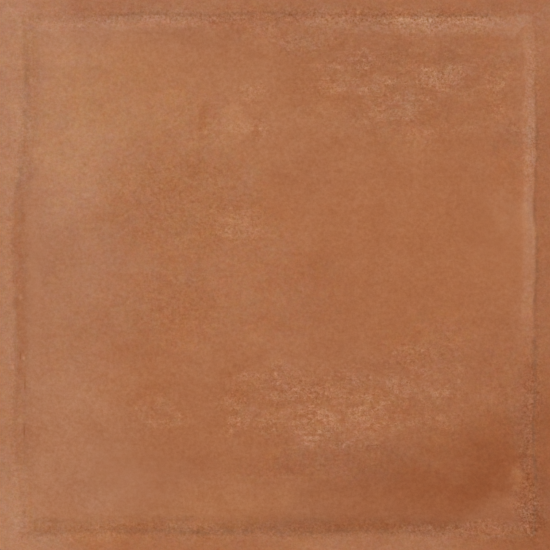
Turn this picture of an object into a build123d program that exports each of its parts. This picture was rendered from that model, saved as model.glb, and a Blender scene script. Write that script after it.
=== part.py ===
from build123d import *
import os

# Square terracotta floor tile, pressed and fired as one piece.
# It lies on its back with the face up. The origin is the middle of the bedding plane, +Z points out of
# the face, +X to the right of the face and +Y to its top. All lengths are in millimetres.

# Overall size
SIDE = 300.0                # across the face, the same both ways
THICKNESS = 9.5             # bedding plane to the top of the raised field
CORNER_RADIUS = 1.5         # upright corners, seen from above

# Edge of the tile
ARRIS_RADIUS = 0.8          # rounding between the rim and the edge
EDGE_LAND = 5.0             # upright band that faces the grout joint
EDGE_SETBACK = 0.9          # how far the edge draws in between that band and the back

# Face: a raised field inside a lower rim, which the mould left uneven from side to side
RIM_LEFT = 10.0
RIM_RIGHT = 8.5
RIM_TOP = 9.5
RIM_BOTTOM = 10.0
FIELD_RISE = 1.0            # top of the field above the rim
SHOULDER_WIDTH = 10.0       # slope from the rim to the flat of the field, hollow at the foot, round above

# Keyed back: ribs in a lattice, with shallow cells between them that grip the bedding mortar
KEY_PITCH = 28.0            # from the middle of one cell to the next
KEY_RIB = 5.0               # width of a rib where it meets the bedding plane
KEY_DEPTH = 0.65
KEY_DRAFT = 30.0            # lean of the cell walls from upright, in degrees
KEY_CORNER_CUT = 3.0        # corners of a cell, cut off at 45 degrees
KEY_MARGIN = 7.0            # least flat land between the outer cells and the edge

# Heights and widths that follow from these
rim_height = THICKNESS - FIELD_RISE
land_foot = rim_height - ARRIS_RADIUS - EDGE_LAND
back_side = SIDE - 2 * EDGE_SETBACK


def pressed_blank():
    """Flat square up to the rim: drawn in towards the back, upright above, rounded at the arris."""
    face_outline = Pos(Z=land_foot) * RectangleRounded(SIDE, SIDE, CORNER_RADIUS)
    back_outline = RectangleRounded(back_side, back_side, CORNER_RADIUS)
    drawn_in = loft([back_outline, face_outline], ruled=True)
    upright = extrude(face_outline, rim_height - land_foot)
    blank = drawn_in + upright
    rim_edges = blank.faces().sort_by(Axis.Z)[-1].outer_wire().edges()
    return fillet(rim_edges, ARRIS_RADIUS)


def shoulder(foot, inward):
    """Slope up from the rim: a hollow arc and a round one that meet half way up, level at both ends."""
    run = inward * SHOULDER_WIDTH
    foot_point = Vector(foot, rim_height)
    crown_point = Vector(foot + run, THICKNESS)
    half_way = (foot_point + crown_point) / 2
    hollow = TangentArc(foot_point, half_way, tangent=(inward, 0))
    rounded = TangentArc(crown_point, half_way, tangent=(-inward, 0))
    return hollow + rounded


def field_section(start, end):
    """Section of the raised field from one foot to the other, with a root that sits down in the blank."""
    root_height = rim_height / 2
    outline = Polyline((start, rim_height), (start, root_height), (end, root_height), (end, rim_height))
    outline += shoulder(start, 1)
    outline += shoulder(end, -1)
    outline += Line((start + SHOULDER_WIDTH, THICKNESS), (end - SHOULDER_WIDTH, THICKNESS))
    return make_face(outline)


def raised_field():
    """Where the section across the tile and the section up it meet, so the shoulders mitre at the corners."""
    across = field_section(RIM_LEFT - SIDE / 2, SIDE / 2 - RIM_RIGHT)
    upward = field_section(RIM_BOTTOM - SIDE / 2, SIDE / 2 - RIM_TOP)
    run_across = extrude(Plane.XZ * across, SIDE / 2, both=True)
    run_upward = extrude(Plane.YZ * upward, SIDE / 2, both=True)
    return run_across & run_upward


def key_cells():
    """Shallow cells with leaning walls, as many both ways as the back has room for, centred on it."""
    count = int((back_side - 2 * KEY_MARGIN + KEY_RIB) // KEY_PITCH)
    cell_side = KEY_PITCH - KEY_RIB
    square = Rectangle(cell_side, cell_side)
    mouth = chamfer(square.vertices(), KEY_CORNER_CUT)
    cell = extrude(mouth, KEY_DEPTH, taper=KEY_DRAFT)
    return GridLocations(KEY_PITCH, KEY_PITCH, count, count) * cell


tile = pressed_blank() + raised_field()
tile -= key_cells()

os.makedirs("parts", exist_ok=True)
export_step(tile, "parts/tile.step")
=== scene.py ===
import math
from collections import namedtuple

import bmesh
import bpy
import numpy as np
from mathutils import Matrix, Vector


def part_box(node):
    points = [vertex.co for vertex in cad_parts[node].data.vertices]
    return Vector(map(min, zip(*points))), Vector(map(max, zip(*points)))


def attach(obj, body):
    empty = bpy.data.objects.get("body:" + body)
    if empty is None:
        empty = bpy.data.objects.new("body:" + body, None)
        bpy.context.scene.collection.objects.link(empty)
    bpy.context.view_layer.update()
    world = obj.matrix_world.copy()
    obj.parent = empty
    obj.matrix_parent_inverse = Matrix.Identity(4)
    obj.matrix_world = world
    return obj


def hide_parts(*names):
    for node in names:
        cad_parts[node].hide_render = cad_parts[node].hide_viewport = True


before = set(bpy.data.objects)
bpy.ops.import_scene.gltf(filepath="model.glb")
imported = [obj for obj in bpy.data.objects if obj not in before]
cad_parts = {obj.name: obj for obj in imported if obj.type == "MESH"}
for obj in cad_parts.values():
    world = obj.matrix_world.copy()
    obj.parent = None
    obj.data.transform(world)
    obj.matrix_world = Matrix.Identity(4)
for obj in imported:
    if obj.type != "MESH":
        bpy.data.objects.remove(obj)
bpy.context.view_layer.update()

# Sizes of the tile, in millimetres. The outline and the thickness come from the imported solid.
MM = 0.001
tile_low, tile_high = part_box("tile")
SIDE = (tile_high.x - tile_low.x) / MM
TOP = tile_high.z / MM
HALF = SIDE / 2
CORNER_RADIUS = 1.5
ARRIS_RADIUS = 0.8
EDGE_LAND = 5.0             # upright band below the arris
EDGE_SETBACK = 0.9          # how far the edge draws in below that band
FOOT_ROUNDING = 0.4         # where the edge meets the back
EDGE_UNEVEN = 0.06          # how far the edge lies inside its outline, on average
FIELD_RISE = 1.0
SHOULDER_WIDTH = 10.0
RIM_Z = TOP - FIELD_RISE
LAND_FOOT_Z = RIM_Z - ARRIS_RADIUS - EDGE_LAND

# Keyed back: ribs in a lattice with shallow cells between them
KEY_PITCH = 28.0
KEY_RIB = 5.0
KEY_DEPTH = 0.65
KEY_COUNT = 10              # cells both ways
KEY_WALL = 0.375            # how far a cell's wall leans in
KEY_CORNER_RADIUS = 3.5
KEY_LIP = 0.5               # rounding at a cell's mouth: its width and its drop
KEY_LIP_DROP = 0.09
KEY_COVE = 0.6              # rounding at a cell's floor: its width and its rise
KEY_COVE_RISE = 0.06

# The photograph looks square down on the face and cuts the tile off a millimetre inside its outline.
PHOTO_SIZE = 550
SEEN_WIDTH = SIDE - 2.0
PIXEL = SEEN_WIDTH / PHOTO_SIZE

# Fineness of the mesh: close grid lines over the rim and the shoulders, wider ones over the field
EDGE_ZONE = 20.0
EDGE_STEP = 0.62
FIELD_STEP = 1.3
ARRIS_TURNS = (22.5, 45.0, 67.5, 90.0)      # rows round the arris, in degrees
LAND_ROWS = (6.4, 4.7)                      # heights of the rows down the upright band
MASK_ROWS = 5                               # rows of the edge over which the face's colours fade
CELL_POINTS = 24                            # points round a cell of the back
WELD = 0.01                                 # vertices closer than this are one


def to_pixels(x, y):
    """Place on the face, in millimetres from its middle, as a place in the photograph."""
    return PHOTO_SIZE / 2 + x / PIXEL, PHOTO_SIZE / 2 - y / PIXEL


def ease(t):
    """Smooth step from 0 to 1."""
    t = np.clip(t, 0, 1)
    return t * t * (3 - 2 * t)


def bell(value, middle, reach):
    """1 at the middle, falling off smoothly to either side."""
    return np.exp(-((value - middle) / reach) ** 2)


def soft_noise(x, y, wavelength, seed):
    """Smooth noise from -1 to 1 with bumps about one wavelength across."""
    size = 256
    lattice = np.random.default_rng(seed).uniform(-1, 1, (size, size))
    u = x / wavelength
    v = y / wavelength
    column = np.floor(u).astype(int)
    row = np.floor(v).astype(int)
    s = ease(u - column)
    t = ease(v - row)
    upper = lattice[row % size, column % size] * (1 - s) + lattice[row % size, (column + 1) % size] * s
    row = row + 1
    lower = lattice[row % size, column % size] * (1 - s) + lattice[row % size, (column + 1) % size] * s
    return upper * (1 - t) + lower * t


# One kind of noise. Each octave after the first is half as wide and half as strong as the last.
Ripple = namedtuple("Ripple", "amount wavelength seed octaves")


def ripple(kind, x, y):
    """Noise of one kind at each place, to either side of zero."""
    total = 0
    for octave in range(kind.octaves):
        finer = 2 ** octave
        total = total + soft_noise(x, y, kind.wavelength / finer, kind.seed + octave) / finer
    return kind.amount * total


# shoulder: painted light and shade on the shoulder, in screen levels: lighter where it faces the key light,
# deeper where it faces away.
# The four sides of the frame round the field, along each side in photograph pixels.
# foot: how far the foot of the shoulder lies in from the photograph's edge.
# rise: how much of the full step is there. dirt: how dark the crease is, from grime and painted shade.
# dust, grit: how dusty the shoulder and how sandy the whole band is.
# rim: how much lighter (or, below zero, deeper) it is than the clay round it, in screen levels.
# reach: how far in from its foot the shoulder keeps that colour, in millimetres.
# smear: how wide the crease's grime and painted shade is, in millimetres.
Side = namedtuple("Side", "foot rise dirt dust grit rim shoulder reach smear")
LEFT = Side(
    foot=(
        (0, 18), (30, 25), (70, 27), (130, 26), (175, 20), (205, 13),
        (300, 16), (370, 18), (425, 14), (490, 21), (550, 25),
    ),
    rise=((0, 0.2), (50, 0.5), (200, 0.5), (400, 0.5), (460, 0.3), (550, 0.2)),
    dirt=(
        (0, 0.1), (30, 0.3), (60, 0.65), (130, 0.6), (200, 0.45),
        (300, 0.3), (380, 0.35), (430, 0.25), (480, 0.1),
    ),
    dust=((0, 0.1), (150, 0.0), (300, 0.1), (360, 0.1), (420, 0.0), (550, 0.1)),
    grit=((0, 0.5), (60, 0.4), (200, 0.5), (300, 0.5), (430, 0.5), (480, 0.4), (550, 0.7)),
    rim=((0, 9), (60, 3), (150, 1), (210, 5), (260, 3), (400, 2), (470, 4), (550, 6)),
    # Mostly painted shade: the left shoulder faces away from the key light.
    shoulder=((0, 0), (50, -2), (180, -4), (230, -7), (320, -6), (370, -6), (400, -5), (425, 1), (550, 0)),
    reach=((0, 3.0), (200, 3.5), (380, 2.5), (420, 1.5), (470, 1.5), (550, 6.0)),
    smear=((0, 1.2), (40, 1.8), (150, 1.8), (200, 1.2), (550, 1.1)),
)
RIGHT = Side(
    foot=(
        (0, 15), (60, 14), (175, 14.5), (200, 16), (225, 14.5),
        (300, 14.5), (345, 16), (425, 17), (480, 16), (550, 17),
    ),
    rise=((0, 0.3), (60, 0.6), (300, 0.6), (350, 0.4), (550, 0.3)),
    dirt=((0, 0.1), (70, 0.3), (110, 0.7), (350, 0.8), (430, 0.9), (550, 0.8)),
    dust=((0, 0.2), (60, 0.3), (150, 0.4), (200, 0.1), (340, 0.1), (420, 0.3), (470, 0.5), (550, 0.6)),
    grit=((0, 0.5), (60, 0.8), (160, 0.8), (200, 0.4), (300, 0.4), (380, 1.1), (470, 1.1), (550, 0.9)),
    rim=((0, 1), (60, -1), (110, -2), (170, -2), (300, -3), (380, -4), (420, -10), (480, -8), (550, -11)),
    # Painted light where the right shoulder faces the key light, turning to painted shade towards its lower
    # end.
    shoulder=((0, 0), (60, 7), (120, 13), (220, 11), (315, 9), (350, 0), (380, -2), (480, -4), (550, -5)),
    reach=((0, 4.0), (60, 3.6), (250, 3.6), (300, 5.0), (550, 5.0)),
    smear=((0, 1.0), (550, 1.0)),
)
TOP_SIDE = Side(
    foot=((0, 17), (60, 17), (100, 15), (300, 15), (400, 16), (480, 16), (550, 15)),
    rise=(
        (0, 0.2), (60, 0.6), (180, 0.6), (300, 0.5), (340, 0.3),
        (380, 0.3), (410, 0.6), (500, 0.6), (550, 0.4),
    ),
    dirt=(
        (0, 0.1), (60, 0.1), (100, 0.5), (290, 0.5), (325, 0.1),
        (395, 0.1), (420, 0.7), (485, 0.7), (510, 0.1),
    ),
    dust=((0, 0.2), (120, 0.3), (230, 0.3), (350, 0.3), (400, 0.4), (470, 0.4), (505, 0.1), (550, 0.1)),
    grit=(
        (0, 0.4), (50, 0.5), (90, 1.0), (300, 1.3), (350, 1.6),
        (420, 2.0), (470, 1.8), (505, 0.8), (550, 0.4),
    ),
    rim=((0, 8), (60, -1), (120, 1), (160, 0), (220, 4), (260, 0), (350, 0), (500, -2), (550, -3)),
    # Painted light: the top shoulder faces the key light.
    shoulder=(
        (0, 0), (60, 0), (100, 4), (150, 7), (200, 3), (250, 0),
        (290, 4), (350, 8), (430, 10), (500, 10), (550, 8),
    ),
    reach=((0, 5.0), (330, 5.0), (400, 7.5), (480, 7.5), (520, 9.0), (550, 9.0)),
    smear=((0, 1.2), (550, 1.2)),
)
BOTTOM = Side(
    foot=((0, 15), (60, 16.5), (100, 18.5), (250, 19), (380, 18.5), (470, 15.5), (550, 14)),
    rise=((0, 0.2), (50, 0.8), (300, 0.8), (380, 0.5), (450, 0.1), (550, 0.2)),
    dirt=((0, 0.1), (45, 0.35), (140, 0.5), (190, 0.8), (250, 0.8), (380, 0.6), (430, 0.4), (550, 0.5)),
    dust=((0, 0.2), (60, 0.1), (250, 0.1), (400, 0.2), (500, 0.3), (550, 0.4)),
    grit=((0, 0.5), (60, 0.9), (130, 1.2), (250, 1.2), (380, 1.0), (430, 1.1), (490, 0.8), (550, 0.9)),
    rim=((0, 5), (60, 0), (120, -1), (250, 1), (320, 7), (430, 5), (480, -4), (550, -13)),
    # Painted shade: the bottom shoulder faces away from the key light.
    shoulder=((0, 0), (45, -1), (110, -4), (180, -3), (260, -2), (300, -2), (350, -4), (480, -5), (550, -4)),
    reach=((0, 4.0), (120, 4.0), (180, 2.5), (250, 1.0), (290, 1.5), (330, 4.5), (550, 6.0)),
    smear=((0, 1.2), (60, 1.5), (100, 2.2), (140, 2.2), (190, 1.9), (380, 1.9), (450, 1.2), (550, 1.1)),
)

# Zones of the frame, in millimetres in from the shoulder's foot. Below zero they lie on the rim.
RIM_END = -1.3
CREASE_MIDDLE = -0.2
SHOULDER_START = -0.1
FOOT_FADE = 1.1             # width over which the rim's and the shoulder's colours fade at the foot
SHOULDER_FADE = 5.0         # and over which the shoulder's fades past its reach
SANDY_MIDDLE = 1.0
SANDY_REACH = 4.8
STREAKED_MIDDLE = 2.5
STREAKED_REACH = 5.5

# What wanders along the frame: its foot, in photograph pixels, and streaks drawn out along each side
FOOT_WOBBLE = Ripple(1.1, 30, 11, 1)
FOOT_FRAY = Ripple(0.9, 7, 12, 1)
RELIEF_STREAKS = Ripple(1.0, 5, 81, 2)
MAUVE_STREAKS = Ripple(1.6, 5, 83, 2)       # in screen levels
STREAK_STRETCH = 9.0        # how many times as long as wide the streaks are
STREAK_HEIGHT = 0.03        # in millimetres
STREAK_LEVELS = 2.0         # in screen levels, and more where it is sandy
SHOULDER_MAUVE = 0.15       # levels of mauve for each level of painted light on the shoulder
RIM_GRIT = 0.25


def along(points, place):
    """Value of a side's given points at each place along it."""
    places, values = zip(*points)
    return np.interp(place, places, values)


def frame_relief(px, py):
    """Height of the face above the rim, in millimetres, with the masks of the frame round the field."""
    wobble = ripple(FOOT_WOBBLE, px, py) + ripple(FOOT_FRAY, px, py)
    sides = (
        (LEFT, px, py),
        (RIGHT, PHOTO_SIZE - px, py),
        (TOP_SIDE, py, px),
        (BOTTOM, PHOTO_SIZE - py, px),
    )
    inward = np.stack([(inset - along(side.foot, place) + wobble) * PIXEL for side, inset, place in sides])
    nearest = np.argmin(inward, axis=0)[None]

    def from_nearest(values):
        return np.take_along_axis(np.stack(values), nearest, 0)[0]

    def of_nearest(field):
        return from_nearest([along(getattr(side, field), place) for side, inset, place in sides])

    def streaked(kind):
        return from_nearest([ripple(kind, inset, place / STREAK_STRETCH) for side, inset, place in sides])

    depth_in = inward.min(axis=0)
    climb = ease(depth_in / SHOULDER_WIDTH)
    band = bell(depth_in, STREAKED_MIDDLE, STREAKED_REACH)
    streaks = band * streaked(RELIEF_STREAKS)
    step = FIELD_RISE * (1 - of_nearest("rise") * (1 - climb)) + STREAK_HEIGHT * streaks
    # The crease at the shoulder's foot, darkened with grime and painted shade.
    crease = bell(depth_in, CREASE_MIDDLE, of_nearest("smear"))
    rim = 1 - ease((depth_in - RIM_END) / FOOT_FADE)
    faded = ease((depth_in - of_nearest("reach")) / SHOULDER_FADE)
    shoulder = ease((depth_in - SHOULDER_START) / FOOT_FADE) * (1 - faded)
    # Painted light and shade on the shoulders, lighter where they face the key light and deeper where they
    # face away; it goes into the tone, and where lighter into the mauve.
    shoulder_light_and_shade = shoulder * of_nearest("shoulder")
    grit = of_nearest("grit")
    masks = {
        "dirt": crease * of_nearest("dirt"),
        "dust": shoulder * of_nearest("dust"),
        "tone": shoulder_light_and_shade + rim * of_nearest("rim") + streaks * STREAK_LEVELS * (1 + grit),
        "mauve": SHOULDER_MAUVE * np.maximum(shoulder_light_and_shade, 0) + band * streaked(MAUVE_STREAKS),
        "grit": bell(depth_in, SANDY_MIDDLE, SANDY_REACH) * grit + RIM_GRIT * rim,
    }
    return np.minimum(step, FIELD_RISE), masks


# Soft patches of the fired face, in photograph pixels. wide and tall are half a patch's reach, amount is its
# strength (screen levels for tone, mauve and ochre, a share for grit and dust), and tilt turns it
# anticlockwise, in degrees.
Patch = namedtuple("Patch", "x y wide tall amount tilt", defaults=(0,))
TONE = (
    # Broad drifts
    Patch(30, 275, 155, 480, 9),
    Patch(85, 125, 120, 135, 8),
    Patch(225, 110, 100, 90, 7),
    Patch(225, 250, 110, 100, 4),
    Patch(370, 145, 150, 75, 1.5),
    Patch(160, 510, 110, 45, 4.5),
    Patch(460, 470, 130, 72, -12, tilt=15),
    Patch(375, 305, 110, 60, -3),
    Patch(545, 440, 40, 110, -5),
    Patch(420, 80, 110, 50, 1.5),
    # Upper left
    Patch(5, 20, 60, 60, 4),
    Patch(160, 40, 90, 50, 4),
    Patch(25, 78, 22, 45, 2.5),
    Patch(125, 70, 45, 34, -2),
    Patch(85, 85, 32, 24, -4),
    Patch(85, 10, 30, 18, -4),
    Patch(62, 48, 26, 34, 3.5),
    Patch(84, 152, 58, 32, 2.5),
    Patch(155, 148, 34, 32, -3),
    # Upper middle
    Patch(356, 87, 36, 18, 5.5),
    Patch(340, 113, 36, 16, -4),
    Patch(205, 118, 7, 22, -7),
    Patch(252, 126, 7, 20, -7),
    Patch(236, 119, 24, 20, 8),
    Patch(325, 125, 40, 26, 3),
    Patch(330, 58, 26, 18, -3),
    Patch(205, 160, 36, 24, -5),
    Patch(312, 112, 20, 18, 5),
    Patch(300, 36, 36, 13, 4),
    # Upper right
    Patch(495, 55, 40, 25, -2),
    Patch(545, 40, 60, 60, 3),
    Patch(432, 82, 46, 24, 2),
    Patch(410, 60, 55, 18, -5),
    Patch(375, 125, 45, 30, -2),
    Patch(410, 45, 22, 26, -4),
    Patch(388, 88, 16, 16, -4),
    # Left
    Patch(130, 185, 40, 40, -3),
    Patch(120, 325, 40, 40, -3),
    Patch(75, 180, 34, 30, 2.5),
    Patch(125, 225, 45, 45, -2.5),
    Patch(160, 235, 28, 22, -4),
    Patch(150, 360, 65, 18, -3),
    # Middle
    Patch(215, 345, 80, 60, 3.5),
    Patch(238, 228, 22, 20, 4),
    Patch(222, 278, 40, 32, 3),
    Patch(275, 225, 40, 40, -2),
    Patch(215, 308, 38, 20, -4),
    Patch(237, 210, 20, 16, -4),
    Patch(262, 338, 22, 18, 4),
    # Right
    Patch(485, 335, 55, 60, -3),
    Patch(512, 215, 24, 36, 4),
    Patch(520, 320, 14, 26, 2.5),
    Patch(485, 235, 26, 24, -4),
    Patch(537, 185, 14, 26, -4),
    # Lower left
    Patch(70, 385, 70, 60, 3),
    Patch(95, 475, 80, 50, 2.5),
    Patch(10, 530, 70, 60, 5),
    Patch(165, 412, 35, 28, 2),
    Patch(95, 437, 38, 20, -4),
    # Lower middle
    Patch(330, 475, 90, 40, -7),
    Patch(360, 425, 70, 35, 3),
    Patch(345, 515, 75, 34, -5.5),
    Patch(320, 400, 70, 30, -2.5),
    Patch(245, 528, 60, 18, 2.5),
    Patch(270, 437, 40, 16, -5),
    Patch(270, 490, 52, 22, 4.5),
    Patch(352, 511, 32, 15, -4),
    Patch(298, 511, 32, 15, 3.5),
    Patch(250, 462, 90, 16, -3),
    Patch(272, 410, 32, 18, 4),
    # Lower right
    Patch(490, 468, 46, 44, -10),
    Patch(440, 489, 62, 26, -9),
    Patch(480, 430, 44, 34, -5),
    Patch(494, 503, 26, 8, 3),
    Patch(450, 516, 80, 16, -6),
    Patch(515, 484, 7, 26, 7),
    Patch(516, 440, 6, 24, 5),
    Patch(545, 545, 60, 40, -6),
    Patch(526, 525, 16, 20, -8),
    Patch(500, 375, 50, 34, -3),
    Patch(492, 495, 26, 14, -5),
    Patch(495, 452, 28, 12, 4),
    Patch(510, 430, 24, 18, -5),
    Patch(435, 452, 26, 14, -4),
    Patch(445, 500, 26, 16, 3.5),
    Patch(518, 469, 10, 14, 6),
    Patch(519, 405, 12, 20, 4),
    Patch(476, 504, 26, 14, -4.5),
    Patch(515, 480, 14, 13, 6),
    Patch(440, 421, 22, 12, -4),
)
MAUVE = (
    # Broad drifts
    Patch(20, 275, 130, 420, 2.6),
    Patch(275, 5, 600, 50, 2.2),
    Patch(420, 75, 110, 50, 2.2),
    Patch(420, 375, 120, 45, 1.2),
    Patch(450, 510, 190, 110, 0.8),
    Patch(400, 530, 190, 35, 1.0),
    Patch(140, 485, 100, 60, 2.2),
    Patch(420, 245, 180, 130, -1.5),
    Patch(545, 300, 40, 400, 1.5),
    Patch(545, 80, 50, 110, 1.2),
    Patch(190, 180, 70, 80, 1.0),
    Patch(322, 35, 90, 60, 1.0),
    # Upper left
    Patch(150, 20, 90, 40, 1.0),
    Patch(125, 122, 34, 34, 1.2),
    # Upper right
    Patch(505, 138, 26, 26, 3.0),
    Patch(520, 175, 28, 34, -1.8),
    Patch(425, 25, 45, 28, -1.5),
    Patch(375, 125, 36, 34, 1.3),
    # Left
    Patch(75, 250, 55, 60, 1.2),
    Patch(125, 240, 36, 60, 1.5),
    # Middle
    Patch(275, 225, 45, 45, -1.8),
    # Lower left
    Patch(120, 525, 95, 28, -1.8),
    Patch(125, 425, 34, 32, 1.2),
    # Lower middle
    Patch(340, 470, 90, 50, 2.0),
    Patch(285, 525, 70, 28, 1.8),
    # Lower right
    Patch(532, 460, 22, 90, 3.5),
    Patch(525, 520, 18, 20, 3.0),
    Patch(450, 525, 90, 14, 2.2),
    Patch(400, 455, 34, 22, 2.0),
)
OCHRE = (
    Patch(115, 88, 110, 65, 1.7),
    Patch(195, 185, 90, 95, 1.6),
    Patch(220, 503, 130, 20, 1.5),
    Patch(80, 140, 70, 60, 1.2),
    Patch(385, 95, 230, 80, 0.8),
)
GRIT = (
    # Sandier clay
    Patch(190, 200, 90, 80, 0.75),
    Patch(115, 300, 130, 140, 0.18),
    Patch(470, 455, 75, 60, 0.15),
    Patch(85, 130, 110, 130, 0.25),
    Patch(275, 280, 90, 90, 0.3),
    Patch(525, 512, 18, 36, 0.7),
    Patch(185, 112, 50, 40, 0.5),
    Patch(172, 310, 62, 52, 0.55),
    Patch(425, 338, 65, 30, 0.45),
    Patch(512, 400, 45, 60, 0.6),
    Patch(325, 466, 120, 26, 0.7),
    Patch(300, 36, 75, 18, 1.1),
    Patch(482, 36, 30, 14, 0.5),
    Patch(400, 137, 36, 20, 0.5),
    Patch(505, 62, 36, 22, 0.5),
    Patch(512, 150, 30, 45, 0.4),
    # Below zero: clay with a weaker grain
    Patch(38, 285, 18, 100, -0.5),
    Patch(505, 240, 45, 75, -0.35),
    Patch(145, 470, 80, 46, -0.38),
    Patch(312, 228, 24, 30, -0.3),
)
DUST = (
    # Upper right: a haze with bright clusters in it
    Patch(410, 87, 135, 72, 0.6),
    Patch(438, 82, 42, 22, 0.5, tilt=8),
    Patch(362, 88, 55, 18, 0.3),
    Patch(425, 79, 15, 15, 0.5),
    Patch(447, 75, 18, 13, 0.3),
    Patch(392, 84, 20, 12, 0.25),
    Patch(374, 94, 20, 10, 0.4),
    Patch(364, 61, 18, 15, 0.6),
    Patch(328, 65, 32, 7, 0.4),
    Patch(329, 90, 16, 9, 0.2),
    Patch(405, 110, 36, 22, 0.4),
    Patch(497, 84, 15, 11, 0.8),
    Patch(493, 109, 11, 15, 0.6),
    Patch(510, 130, 12, 16, 0.4),
    Patch(512, 63, 16, 12, 0.3),
    # Left of the middle, near the top
    Patch(245, 122, 50, 30, 0.3),
    Patch(255, 92, 18, 9, 0.6),
    Patch(234, 127, 14, 12, 0.1),
    Patch(257, 131, 20, 16, 0.3),
    Patch(213, 130, 14, 16, 0.4),
    Patch(238, 225, 50, 30, 0.4),
    # Below the middle: the widest haze, brightest in its lower half
    Patch(325, 408, 110, 56, 0.6),
    Patch(270, 402, 70, 52, 0.2),
    Patch(318, 430, 28, 22, 0.8),
    Patch(298, 400, 32, 17, 0.5),
    Patch(273, 372, 15, 18, 0.6),
    Patch(245, 375, 20, 10, 0.4),
    Patch(241, 400, 14, 13, 0.6),
    Patch(235, 424, 14, 20, 1.0, tilt=-28),
    Patch(268, 430, 14, 11, 0.4),
    Patch(268, 458, 12, 7, 0.5),
    Patch(327, 390, 10, 11, 0.5),
    Patch(352, 414, 20, 14, 0.5),
    Patch(375, 414, 18, 16, 0.5),
    Patch(345, 442, 12, 8, 0.5),
    Patch(373, 449, 12, 8, 0.5),
    # Fringes to its left and right
    Patch(180, 422, 16, 11, 0.6),
    Patch(162, 410, 34, 26, 0.5),
    Patch(415, 390, 80, 75, 0.5),
    Patch(398, 388, 15, 13, 0.2),
    Patch(438, 391, 30, 13, 0.4),
    Patch(410, 355, 26, 22, 0.25),
    # Lower right corner of the frame
    Patch(526, 522, 13, 16, 1.3),
    Patch(519, 482, 13, 50, 0.5),
    Patch(470, 529, 80, 9, 0.5),
)

# How the patches' outlines stray, in photograph pixels: long drifts for the large ones, frayed edges for all
DRAWN_ACROSS = Ripple(16, 50, 31, 4)
DRAWN_UP = Ripple(11, 50, 41, 4)
FRAYED_ACROSS = Ripple(6, 13, 35, 2)
FRAYED_UP = Ripple(4, 13, 45, 2)
LARGE_PATCH = 120           # wide and tall together from which a patch drifts in full

# The field's gentle swell and its pits, and the uneven edge: depths in millimetres
SWELL_DEPTH = 0.05
SWELL = Ripple(SWELL_DEPTH / 2, 70, 51, 3)
PIT_DEPTH = 0.02
PITS = Ripple(PIT_DEPTH, 7, 61, 1)
THREE_OCTAVES = 1 + 1 / 2 + 1 / 4           # the most that three octaves add up to
EDGE_RIPPLE = Ripple(EDGE_UNEVEN / THREE_OCTAVES, 6, 71, 3)

# Dust laid on dust tells less and less.
DUST_MOST = 1.1             # what it comes to at most
DUST_RATE = 1.1             # how fast it gets there


def spread(patches, px, py):
    """Sum of the patches at each place, with frayed outlines, those of the larger ones well out of true."""
    drawn_x = ripple(DRAWN_ACROSS, px, py)
    drawn_y = ripple(DRAWN_UP, px, py)
    frayed_x = ripple(FRAYED_ACROSS, px, py)
    frayed_y = ripple(FRAYED_UP, px, py)
    total = np.zeros_like(px)
    for patch in patches:
        turn = math.radians(patch.tilt)
        drawn = min(1, (patch.wide + patch.tall) / LARGE_PATCH)
        x = px + drawn * drawn_x + frayed_x - patch.x
        y = py + drawn * drawn_y + frayed_y - patch.y
        across = x * math.cos(turn) - y * math.sin(turn)
        up = x * math.sin(turn) + y * math.cos(turn)
        reach = (across / patch.wide) ** 2 + (up / patch.tall) ** 2
        total += patch.amount * ease(1 - reach)
    return total


def face_heights(x, y):
    """Height of the face at each place, in millimetres, never above the solid's top, and its masks."""
    px, py = to_pixels(x, y)
    above_rim, masks = frame_relief(px, py)
    swell = SWELL_DEPTH + ripple(SWELL, px, py)
    pits = PIT_DEPTH + ripple(PITS, px, py)
    masks["tone"] = masks["tone"] + spread(TONE, px, py)
    masks["mauve"] = masks["mauve"] + spread(MAUVE, px, py)
    masks["ochre"] = spread(OCHRE, px, py)
    masks["grit"] = masks["grit"] + spread(GRIT, px, py)
    dust = masks["dust"] + spread(DUST, px, py)
    masks["dust"] = DUST_MOST * (1 - np.exp(-DUST_RATE * dust))
    return RIM_Z + above_rim - np.maximum(swell + pits, 0), masks


def face_lines():
    """Grid lines of the face from one edge to the other, in millimetres from its middle."""
    corner = np.array([ARRIS_RADIUS, (ARRIS_RADIUS + CORNER_RADIUS) / 2])
    zone_steps = round((EDGE_ZONE - CORNER_RADIUS) / EDGE_STEP)
    zone = np.concatenate([corner, np.linspace(CORNER_RADIUS, EDGE_ZONE, zone_steps + 1)])
    field_half = HALF - EDGE_ZONE
    field_steps = round(2 * field_half / FIELD_STEP)
    field = np.linspace(-field_half, field_half, field_steps + 1)
    return np.concatenate([zone - HALF, field[1:-1], (HALF - zone)[::-1]])


def border_of(count):
    """Rows and columns of the face's outer vertices, anticlockwise from the lower left corner."""
    last = count - 1
    border = [(0, i) for i in range(last)]
    border += [(i, last) for i in range(last)]
    border += [(last, last - i) for i in range(last)]
    border += [(last - i, 0) for i in range(last)]
    rows, columns = np.array(border).T
    return rows, columns


def outline_at(ring, inset):
    """The face's outer ring of places moved out to a given inset from the tile's rounded square outline."""
    core = HALF - CORNER_RADIUS
    centre = np.clip(ring, -core, core)
    away = ring - centre
    away /= np.linalg.norm(away, axis=1, keepdims=True)
    return centre + away * (CORNER_RADIUS - inset)


def edge_rows(ring_z):
    """Inset and height of each row of the edge below the face, from the arris down to the back."""
    rows = []
    for turn in ARRIS_TURNS:
        angle = math.radians(turn)
        rows.append((ARRIS_RADIUS * (1 - math.sin(angle)), ring_z - ARRIS_RADIUS * (1 - math.cos(angle))))
    for height in (*LAND_ROWS, LAND_FOOT_Z):
        rows.append((0.0, np.full_like(ring_z, height)))
    for height in (LAND_FOOT_Z / 2, FOOT_ROUNDING):
        rows.append((EDGE_SETBACK * (1 - height / LAND_FOOT_Z), np.full_like(ring_z, height)))
    rows.append((EDGE_SETBACK + FOOT_ROUNDING, np.zeros_like(ring_z)))
    return rows


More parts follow.
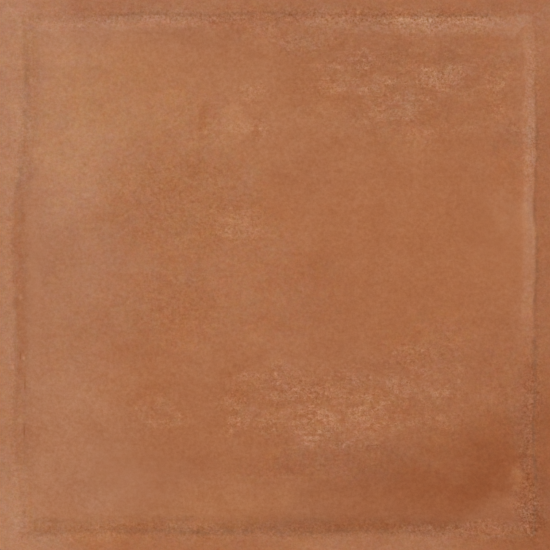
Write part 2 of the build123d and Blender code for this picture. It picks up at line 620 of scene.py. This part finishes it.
def join_loops(mesh, outer, inner):
    """Faces between two loops that have as many vertices as each other."""
    for index in range(len(outer)):
        after = (index + 1) % len(outer)
        mesh.faces.new((outer[index], outer[after], inner[after], inner[index]))


def add_edge(mesh, face_loop, ring, rows):
    """Edge of the tile below the face's outer loop, row by row. Returns its lowest loop."""
    above = face_loop
    for inset, heights in rows:
        uneven = EDGE_UNEVEN + ripple(EDGE_RIPPLE, ring[:, 0] - heights, ring[:, 1] + heights)
        places = outline_at(ring, inset + uneven[:, None])
        below = [mesh.verts.new((x, y, height)) for (x, y), height in zip(places, heights)]
        join_loops(mesh, above, below)
        above = below
    return above


def rounded_square(half, radius):
    """Points round a square with rounded corners, in even turns from its middle, anticlockwise."""
    core = half - radius
    points = []
    for index in range(CELL_POINTS):
        angle = 2 * math.pi * index / CELL_POINTS
        reach = 1 / max(abs(math.cos(angle)), abs(math.sin(angle)))
        x = reach * math.cos(angle) * half
        y = reach * math.sin(angle) * half
        inner_x = min(max(x, -core), core)
        inner_y = min(max(y, -core), core)
        length = math.hypot(x - inner_x, y - inner_y)
        points.append((inner_x + (x - inner_x) * radius / length, inner_y + (y - inner_y) * radius / length))
    return points


def key_cell_loops():
    """Loops of one cell of the back from the middle of its ribs down to its floor: places and heights."""
    sharp = 0.001
    mouth = (KEY_PITCH - KEY_RIB) / 2
    floor = mouth - KEY_WALL
    floor_radius = KEY_CORNER_RADIUS - KEY_WALL
    return (
        (rounded_square(KEY_PITCH / 2, sharp), 0.0),
        (rounded_square(mouth + KEY_LIP, KEY_CORNER_RADIUS + KEY_LIP), 0.0),
        (rounded_square(mouth, KEY_CORNER_RADIUS), KEY_LIP_DROP),
        (rounded_square(floor, floor_radius), KEY_DEPTH - KEY_COVE_RISE),
        (rounded_square(floor - KEY_COVE, floor_radius - KEY_COVE), KEY_DEPTH),
    )


def add_back(mesh):
    """The keyed back: one cell repeated both ways. Returns the vertices round the outside of the lattice."""
    loops = key_cell_loops()
    key = []
    for row in range(KEY_COUNT):
        for column in range(KEY_COUNT):
            middle_x = (column - (KEY_COUNT - 1) / 2) * KEY_PITCH
            middle_y = (row - (KEY_COUNT - 1) / 2) * KEY_PITCH
            rings = []
            for places, height in loops:
                rings.append([mesh.verts.new((middle_x + x, middle_y + y, height)) for x, y in places])
                key += rings[-1]
            for outer, inner in zip(rings, rings[1:]):
                join_loops(mesh, outer, inner)
            mesh.faces.new(rings[-1])
    bmesh.ops.remove_doubles(mesh, verts=key, dist=WELD)

    def on_outside(vertex):
        from_middle = max(abs(vertex.co.x), abs(vertex.co.y))
        return vertex.co.z < WELD and abs(from_middle - KEY_COUNT * KEY_PITCH / 2) < WELD

    return [vertex for vertex in mesh.verts if on_outside(vertex)]


def turn_of(vertex):
    """Angle of a vertex about the tile's middle, from zero to a full turn."""
    return math.atan2(vertex.co.y, vertex.co.x) % (2 * math.pi)


def stitch(mesh, outer, inner):
    """Fills the flat ring between two loops of vertices about the middle, whatever their counts."""
    outer = sorted(outer, key=turn_of)
    inner = sorted(inner, key=turn_of)
    outer_turns = [turn_of(vertex) for vertex in outer] + [2 * math.pi + turn_of(outer[0])]
    inner_turns = [turn_of(vertex) for vertex in inner] + [2 * math.pi + turn_of(inner[0])]
    outer_at = 0
    inner_at = 0
    while outer_at < len(outer) or inner_at < len(inner):
        inner_done = inner_at == len(inner)
        outer_left = outer_at < len(outer)
        outer_first = inner_done or (outer_left and outer_turns[outer_at + 1] <= inner_turns[inner_at + 1])
        here = outer[outer_at % len(outer)]
        across = inner[inner_at % len(inner)]
        if outer_first:
            outer_at += 1
            mesh.faces.new((here, outer[outer_at % len(outer)], across))
        else:
            inner_at += 1
            mesh.faces.new((here, inner[inner_at % len(inner)], across))


def tile_mesh():
    """The whole tile as one closed mesh in millimetres: face, arris, edge, margin of the back and its key."""
    lines = face_lines()
    count = len(lines)
    x, y = np.meshgrid(lines, lines)
    z, masks = face_heights(x, y)
    border = border_of(count)
    ring = np.stack([x[border], y[border]], axis=1)
    x[border], y[border] = outline_at(ring, ARRIS_RADIUS).T

    mesh = bmesh.new()
    face = [[mesh.verts.new(place) for place in zip(*row)] for row in zip(x, y, z)]
    for lower, upper in zip(face, face[1:]):
        for c in range(count - 1):
            mesh.faces.new((lower[c], lower[c + 1], upper[c + 1], upper[c]))
    face_loop = [face[r][c] for r, c in zip(*border)]
    rows = edge_rows(z[border])
    edge_loop = add_edge(mesh, face_loop, ring, rows)
    stitch(mesh, edge_loop, add_back(mesh))
    bmesh.ops.recalc_face_normals(mesh, faces=mesh.faces)

    fades = [max(0, 1 - row / MASK_ROWS) for row in range(len(rows))]
    for name, values in masks.items():
        down_edge = [values[border] * fade for fade in fades]
        masks[name] = np.concatenate([values.ravel()] + down_edge)
    return mesh, masks, count, len(rows)


# Layout of the baked maps: the face large, the back small beside it, the edges in strips above the face.
FACE_SHARE = 0.72
BACK_SHARE = 0.25
STRIP = 0.03
GAP = 0.006
BEYOND_FACE = FACE_SHARE + 3 * GAP


def lay_out(data, count, row_count):
    """Baked layout of the mesh: flat views of the face and the back, and the four edges unrolled."""
    side_faces = count - 1
    ring_length = 4 * side_faces
    face_count = side_faces ** 2
    edge_count = ring_length * row_count
    places = np.zeros(len(data.vertices) * 3)
    data.vertices.foreach_get("co", places)
    places = places.reshape(-1, 3) / (SIDE * MM) + 0.5
    corner_vertex = np.zeros(len(data.loops), int)
    data.loops.foreach_get("vertex_index", corner_vertex)
    corner_total = np.zeros(len(data.polygons), int)
    data.polygons.foreach_get("loop_total", corner_total)
    polygon = np.repeat(np.arange(len(data.polygons)), corner_total)
    x = places[corner_vertex, 0]
    y = places[corner_vertex, 1]

    u = GAP + FACE_SHARE * x
    v = GAP + FACE_SHARE * y
    on_back = polygon >= face_count + edge_count
    u[on_back] = BEYOND_FACE + BACK_SHARE * (1 - x[on_back])
    v[on_back] = GAP + BACK_SHARE * y[on_back]

    on_edge = (polygon >= face_count) & ~on_back
    side = (polygon[on_edge] - face_count) % ring_length // side_faces
    vertex = corner_vertex[on_edge]
    row = np.where(vertex < count ** 2, 0, (vertex - count ** 2) // ring_length + 1)
    u[on_edge] = GAP + FACE_SHARE * np.where(side % 2 == 0, x[on_edge], y[on_edge])
    v[on_edge] = BEYOND_FACE + side * (STRIP + GAP) + STRIP * row / row_count

    layout = data.uv_layers.new(name="OFBake")
    layout.data.foreach_set("uv", np.stack([u, v], axis=1).ravel())


def make_tile():
    """The tile's piece: its mesh, its masks as attributes, its layout and its place in the frame."""
    shape, masks, count, row_count = tile_mesh()
    bmesh.ops.scale(shape, vec=(MM, MM, MM), verts=shape.verts)
    data = bpy.data.meshes.new("terracotta_tile")
    shape.to_mesh(data)
    shape.free()
    data.shade_smooth()
    for name, values in masks.items():
        attribute = data.attributes.new(name, "FLOAT", "POINT")
        whole = np.zeros(len(data.vertices), np.float32)
        whole[:len(values)] = values
        attribute.data.foreach_set("value", whole)
    lay_out(data, count, row_count)
    tile = bpy.data.objects.new("terracotta_tile", data)
    bpy.context.scene.collection.objects.link(tile)
    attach(tile, "root")
    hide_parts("tile")
    return tile


def linear(red, green, blue):
    """Colour written as 0 to 255 screen values, as the linear colour that shaders take."""
    def channel(value):
        value /= 255
        return value / 12.92 if value <= 0.04045 else ((value + 0.055) / 1.055) ** 2.4
    return (channel(red), channel(green), channel(blue), 1.0)


def filter_from(plain, changed):
    """What a linear colour is multiplied by to turn it into another."""
    return tuple(after / before for before, after in zip(plain, changed))


class Graph:
    """Short names for the nodes of one material. Lengths are in photograph pixels."""

    def __init__(self, material):
        material.use_nodes = True
        self.tree = material.node_tree
        self.shader = self.tree.nodes["Principled BSDF"]

    def link(self, value, socket):
        if isinstance(value, bpy.types.NodeSocket):
            self.tree.links.new(value, socket)
        else:
            socket.default_value = value

    def node(self, kind, **settings):
        made = self.tree.nodes.new(kind)
        for name, value in settings.items():
            setattr(made, name, value)
        return made

    def mask(self, name):
        return self.node("ShaderNodeAttribute", attribute_name=name).outputs["Fac"]

    def math(self, operation, *values):
        made = self.node("ShaderNodeMath", operation=operation)
        for value, socket in zip(values, made.inputs):
            self.link(value, socket)
        return made.outputs[0]

    def mix(self, factor, first, second, blend="MIX"):
        made = self.node("ShaderNodeMix", data_type="RGBA", blend_type=blend, clamp_factor=False)
        self.link(factor, made.inputs[0])
        self.link(first, made.inputs[6])
        self.link(second, made.inputs[7])
        return made.outputs[2]

    def tint(self, colour, levels, span, tinted):
        """Colour drawn towards a filter, in full where the levels come to the span."""
        return self.mix(self.math("DIVIDE", levels, span), colour, tinted, "MULTIPLY")

    def colours(self, value, *stops):
        made = self.node("ShaderNodeValToRGB")
        self.link(value, made.inputs["Fac"])
        elements = made.color_ramp.elements
        while len(elements) < len(stops):
            elements.new(0.5)
        for index, stop in enumerate(stops):
            elements[index].position = index / (len(stops) - 1)
            elements[index].color = stop
        return made.outputs["Color"]

    def place(self, stretch=(1, 1, 1)):
        coordinates = self.node("ShaderNodeTexCoord").outputs["Object"]
        mapping = self.node("ShaderNodeMapping")
        self.link(coordinates, mapping.inputs["Vector"])
        mapping.inputs["Scale"].default_value = stretch
        return mapping.outputs["Vector"]

    def noise(self, pixels, detail=2.0, roughness=0.5, stretch=(1, 1, 1)):
        made = self.node("ShaderNodeTexNoise")
        self.link(self.place(stretch), made.inputs["Vector"])
        made.inputs["Scale"].default_value = 1 / (pixels * PIXEL * MM)
        made.inputs["Detail"].default_value = detail
        made.inputs["Roughness"].default_value = roughness
        return made.outputs["Fac"]

    def from_middle(self, noise, levels):
        """Noise that swings about 0.5, as levels either side of zero."""
        return self.math("MULTIPLY", self.math("SUBTRACT", noise, 0.5), levels)

    def ramp(self, value, low, high, to_low=0.0, to_high=1.0):
        made = self.node("ShaderNodeMapRange", interpolation_type="SMOOTHSTEP")
        self.link(value, made.inputs["Value"])
        self.link(low, made.inputs["From Min"])
        self.link(high, made.inputs["From Max"])
        self.link(to_low, made.inputs["To Min"])
        self.link(to_high, made.inputs["To Max"])
        return made.outputs["Result"]

    def from_mark(self, mark):
        """Distance from a mark's middle, 1 at its edge."""
        mapping = self.node("ShaderNodeMapping", vector_type="TEXTURE")
        self.link(self.node("ShaderNodeTexCoord").outputs["Object"], mapping.inputs["Vector"])
        middle_x = (mark.x - PHOTO_SIZE / 2) * PIXEL
        middle_y = (PHOTO_SIZE / 2 - mark.y) * PIXEL
        middle_z = RIM_Z + FIELD_RISE / 2
        mapping.inputs["Location"].default_value = (middle_x * MM, middle_y * MM, middle_z * MM)
        pixel = PIXEL * MM
        mapping.inputs["Scale"].default_value = (mark.wide * pixel, mark.tall * pixel, MARK_DEPTH * MM)
        length = self.node("ShaderNodeVectorMath", operation="LENGTH")
        self.link(mapping.outputs["Vector"], length.inputs[0])
        return length.outputs["Value"]


# Colours of the clay in screen values: fired hardest, plain, and palest; then what shifts or covers it.
# A span is how many screen levels lead from plain clay to the palest, or to the whole of a filter.
TONE_SPAN = 25
HUE_SPAN = 10
GRAIN_SPAN = 20
DEEP_CLAY = linear(150, 81, 40)
CLAY = linear(169, 105, 66)
PALE_CLAY = linear(188, 132, 95)
MAUVE_FILTER = filter_from(CLAY, linear(159, 105, 76))
OCHRE_FILTER = filter_from(CLAY, linear(173, 110, 56))
GREEN_FILTER = filter_from(CLAY, linear(164, 115, 61))
GRAIN_FILTER = filter_from(CLAY, linear(189, 125, 87))
# Grime in the crease, with painted shade.
CREASE_DIRT_AND_SHADE = linear(122, 77, 48)

# Small single marks on the face, in photograph pixels: half width, half height, and levels of lift.
Mark = namedtuple("Mark", "x y wide tall levels")
MARK_DEPTH = 2.0            # how far down a mark reaches, in millimetres
MARKS = (
    # Specks and chips
    Mark(290, 15, 4, 2.5, -16),
    Mark(21, 297, 3, 5, 14),
    Mark(24, 358, 2.2, 3.5, 20),
    Mark(505, 463, 5, 2.5, 12),
    Mark(400, 494, 2.5, 4, 14),
    Mark(507, 324, 3, 3, -14),
    Mark(85, 165, 3, 3, -14),
    Mark(13, 366, 1.6, 5, 14),
    # Strokes of dust
    Mark(275, 477, 60, 1.6, 5),
    Mark(312, 65, 22, 1.5, 7),
    Mark(239, 421, 2.5, 6, 10),
    Mark(232, 430, 7, 3.5, 9),
    Mark(276, 374, 3.5, 7, 9),
    Mark(318, 437, 9, 3.5, 7),
    Mark(303, 422, 4, 6, 6),
    Mark(424, 80, 4, 6, 6),
    Mark(333, 65, 7, 2, 6),
    Mark(180, 423, 5, 2.5, 7),
    # Hairlines along the foot of the left side
    Mark(15, 345, 1.5, 12, -8),
    Mark(20.5, 356, 1.4, 9, -14),
    Mark(25, 384, 1.4, 11, -13),
    Mark(24.5, 432, 1.4, 11, -13),
    Mark(25, 512, 2, 7, -9),
)
# Turns of a faint curled press mark: each one's middle, half width, half height, thickness and levels
Turn = namedtuple("Turn", "x y wide tall thick levels")
CURL_TURNS = (
    Turn(46.5, 524, 9, 7, 0.5, -7),
    Turn(48, 523.5, 4.5, 3, 0.7, -5),
)
CURL_WARP = 1.6             # how far the turns stray from true


def single_marks(graph):
    """Specks and a curled press mark, in screen levels."""
    total = 0.0
    for mark in MARKS:
        lift = graph.ramp(graph.from_mark(mark), low=1.0, high=0.0, to_high=mark.levels)
        total = graph.math("ADD", lift, total)
    for turn in CURL_TURNS:
        warp = graph.from_middle(graph.noise(pixels=9, detail=2), CURL_WARP)
        uneven = graph.math("ADD", graph.from_mark(turn), warp)
        ring = graph.math("ABSOLUTE", graph.math("SUBTRACT", uneven, 1.0))
        lift = graph.ramp(ring, low=turn.thick, high=0.0, to_high=turn.levels)
        total = graph.math("ADD", lift, total)
    return total


def dust_specks(graph, dust):
    """Dust in broken, level streaks: its fine pale specks and the haze they lie in, in screen levels."""
    break_up = 0.4              # how much a finer noise breaks the streaks
    crowding = 0.1              # how much the streaks widen where the dust is thick
    between = 0.25              # share of the specks that lies between the streaks
    haze_levels = 12
    blob_noise = graph.noise(pixels=3.1, detail=2, roughness=0.8, stretch=(0.9, 1, 1))
    blob = graph.ramp(blob_noise, low=0.46, high=0.74, to_low=-6, to_high=20)
    thread_noise = graph.noise(pixels=4.3, detail=2, roughness=0.8)
    from_thread = graph.math("ABSOLUTE", graph.from_middle(thread_noise, 1))
    thread = graph.ramp(from_thread, low=0.11, high=0.0, to_low=-7, to_high=11)
    streak = graph.noise(pixels=30, detail=5, roughness=0.9, stretch=(0.3, 1, 1))
    broken = graph.math("MULTIPLY_ADD", graph.noise(pixels=9, detail=2), break_up, streak)
    gate = graph.ramp(graph.math("MULTIPLY_ADD", dust, crowding, broken), low=0.67, high=0.84)
    lying = graph.math("MULTIPLY", graph.math("MULTIPLY_ADD", gate, 1 - between, between), dust)
    specks = graph.math("MULTIPLY", graph.math("ADD", blob, thread), lying)
    haze = graph.math("MULTIPLY", graph.from_middle(gate, haze_levels), dust)
    return specks, haze


def fired_tone(graph, dust, grit, haze):
    """The clay's colour: listed patches with drifts of all sizes and hues over them, and the shoulders'
    painted light and shade that the tone mask carries.
    """
    drift_levels = 28
    drift_in_dust = 0.8         # how much more it drifts where it is dusty, and where it is sandy
    drift_in_grit = 0.25
    hue_in_dust = 0.4           # how much of the dust counts as sand for the hues
    mauve_in_haze = 0.07
    green_share = 0.6           # the finer hue's strength beside the wider one's
    mottle = graph.noise(pixels=48, detail=4, roughness=0.95, stretch=(0.7, 1, 1))
    lively = graph.math("MULTIPLY_ADD", dust, drift_in_dust, 1.0)
    lively = graph.math("MULTIPLY_ADD", grit, drift_in_grit, lively)
    drift = graph.math("MULTIPLY", graph.from_middle(mottle, drift_levels), lively)
    tone = graph.math("ADD", graph.mask("tone"), graph.math("ADD", haze, drift))
    place_in_span = graph.math("MULTIPLY_ADD", tone, 0.5 / TONE_SPAN, 0.5)
    colour = graph.colours(place_in_span, DEEP_CLAY, CLAY, PALE_CLAY)

    hue_grit = graph.math("MULTIPLY_ADD", dust, hue_in_dust, grit)
    hue_levels = graph.ramp(hue_grit, low=0.0, high=0.3, to_low=7, to_high=20)
    wide_hue = graph.from_middle(graph.noise(pixels=32, detail=3.5, roughness=1.0), 1)
    redness = graph.math("MULTIPLY", wide_hue, hue_levels)
    mauve = graph.math("ADD", graph.mask("mauve"), graph.math("MULTIPLY_ADD", haze, mauve_in_haze, redness))
    colour = graph.tint(colour, mauve, HUE_SPAN, MAUVE_FILTER)
    fine_hue = graph.from_middle(graph.noise(pixels=13, detail=2.5, roughness=1.0), green_share)
    colour = graph.tint(colour, graph.math("MULTIPLY", fine_hue, hue_levels), HUE_SPAN, GREEN_FILTER)
    return graph.tint(colour, graph.mask("ochre"), HUE_SPAN, OCHRE_FILTER)


def fired_clay():
    """Fired clay: mottled by the kiln, dusty where worn, grime and painted shade in the crease, painted light
    and shade on the shoulders, with a fine grain over all.
    """
    sand_levels = 46
    sand_in_dust = 0.8          # how much of the dust counts as sand
    sand_height = 0.3           # beside the grain's: on plain clay, and how much more where it is sandy
    sandy_height = 0.5
    bump_depth = 0.15           # in millimetres
    material = bpy.data.materials.new("fired_clay_face")
    graph = Graph(material)
    dust = graph.mask("dust")
    grit = graph.mask("grit")
    specks, haze = dust_specks(graph, dust)
    colour = fired_tone(graph, dust, grit, haze)

    grain = graph.noise(pixels=3.7, detail=2, roughness=1.0)
    sand = graph.noise(pixels=2.7, detail=1.5, roughness=0.9)
    gritty = graph.math("MULTIPLY_ADD", dust, sand_in_dust, graph.math("MAXIMUM", grit, 0.0))
    speckle = graph.math("MULTIPLY", graph.from_middle(sand, sand_levels), gritty)
    grain_levels = graph.ramp(grit, low=-0.5, high=0.0, to_low=16, to_high=31)
    speckle = graph.math("MULTIPLY_ADD", graph.from_middle(grain, 1), grain_levels, speckle)
    speckle = graph.math("ADD", speckle, graph.math("ADD", specks, single_marks(graph)))
    colour = graph.tint(colour, speckle, GRAIN_SPAN, GRAIN_FILTER)

    # Grime and painted shade in the crease, laid on in flecks.
    fleck = graph.noise(pixels=11, detail=3, roughness=0.8)
    cover = graph.ramp(fleck, low=0.3, high=0.62, to_high=0.6)
    colour = graph.mix(graph.math("MULTIPLY", graph.mask("dirt"), cover), colour, CREASE_DIRT_AND_SHADE)
    graph.link(colour, graph.shader.inputs["Base Color"])

    worn = graph.noise(pixels=9, detail=3, roughness=0.55)
    roughness = graph.ramp(worn, low=0.2, high=0.8, to_low=0.62, to_high=0.8)
    graph.link(roughness, graph.shader.inputs["Roughness"])
    graph.shader.inputs["Specular IOR Level"].default_value = 0.25
    bump = graph.node("ShaderNodeBump")
    bump.inputs["Strength"].default_value = 0.4
    bump.inputs["Distance"].default_value = bump_depth * MM
    sand_share = graph.math("MULTIPLY_ADD", gritty, sandy_height, sand_height)
    graph.link(graph.math("MULTIPLY_ADD", sand, sand_share, grain), bump.inputs["Height"])
    graph.link(bump.outputs["Normal"], graph.shader.inputs["Normal"])
    return material


def make_floor():
    """Plain pale floor that the tile lies on, a hair below it."""
    reach = 4.0
    below = -0.0001
    corners = [(-reach, -reach, below), (reach, -reach, below), (reach, reach, below), (-reach, reach, below)]
    data = bpy.data.meshes.new("floor")
    data.from_pydata(corners, [], [(0, 1, 2, 3)])
    floor = bpy.data.objects.new("floor", data)
    bpy.context.scene.collection.objects.link(floor)
    material = bpy.data.materials.new("pale_floor")
    material.use_nodes = True
    shader = material.node_tree.nodes["Principled BSDF"]
    shader.inputs["Base Color"].default_value = (0.8, 0.79, 0.77, 1)
    shader.inputs["Roughness"].default_value = 0.9
    data.materials.append(material)


def make_light():
    """Soft key from the upper right of the face, and an even fill from all round."""
    key_share = 0.7
    height = math.radians(45)
    towards = math.radians(45)
    softness = math.radians(18)
    lamp = bpy.data.lights.new("key", "SUN")
    lamp.energy = key_share * math.pi / math.sin(height)
    lamp.angle = softness
    key = bpy.data.objects.new("key", lamp)
    key.rotation_euler = (0, math.pi / 2 - height, towards)
    bpy.context.scene.collection.objects.link(key)
    world = bpy.data.worlds.new("studio")
    world.use_nodes = True
    fill = world.node_tree.nodes["Background"]
    fill.inputs["Color"].default_value = (1, 1, 1, 1)
    fill.inputs["Strength"].default_value = 1 - key_share
    bpy.context.scene.world = world


def make_camera():
    """Camera straight above the face, with the tile filling the frame."""
    lens = bpy.data.cameras.new("camera")
    lens.lens = 120
    lens.sensor_width = 36
    camera = bpy.data.objects.new("camera", lens)
    away = SEEN_WIDTH * MM * lens.lens / lens.sensor_width
    camera.location = (0, 0, RIM_Z * MM + away)
    bpy.context.scene.collection.objects.link(camera)
    bpy.context.scene.camera = camera


tile = make_tile()
tile.data.materials.append(fired_clay())
make_floor()
make_light()
make_camera()
bpy.context.scene.view_settings.view_transform = "Standard"
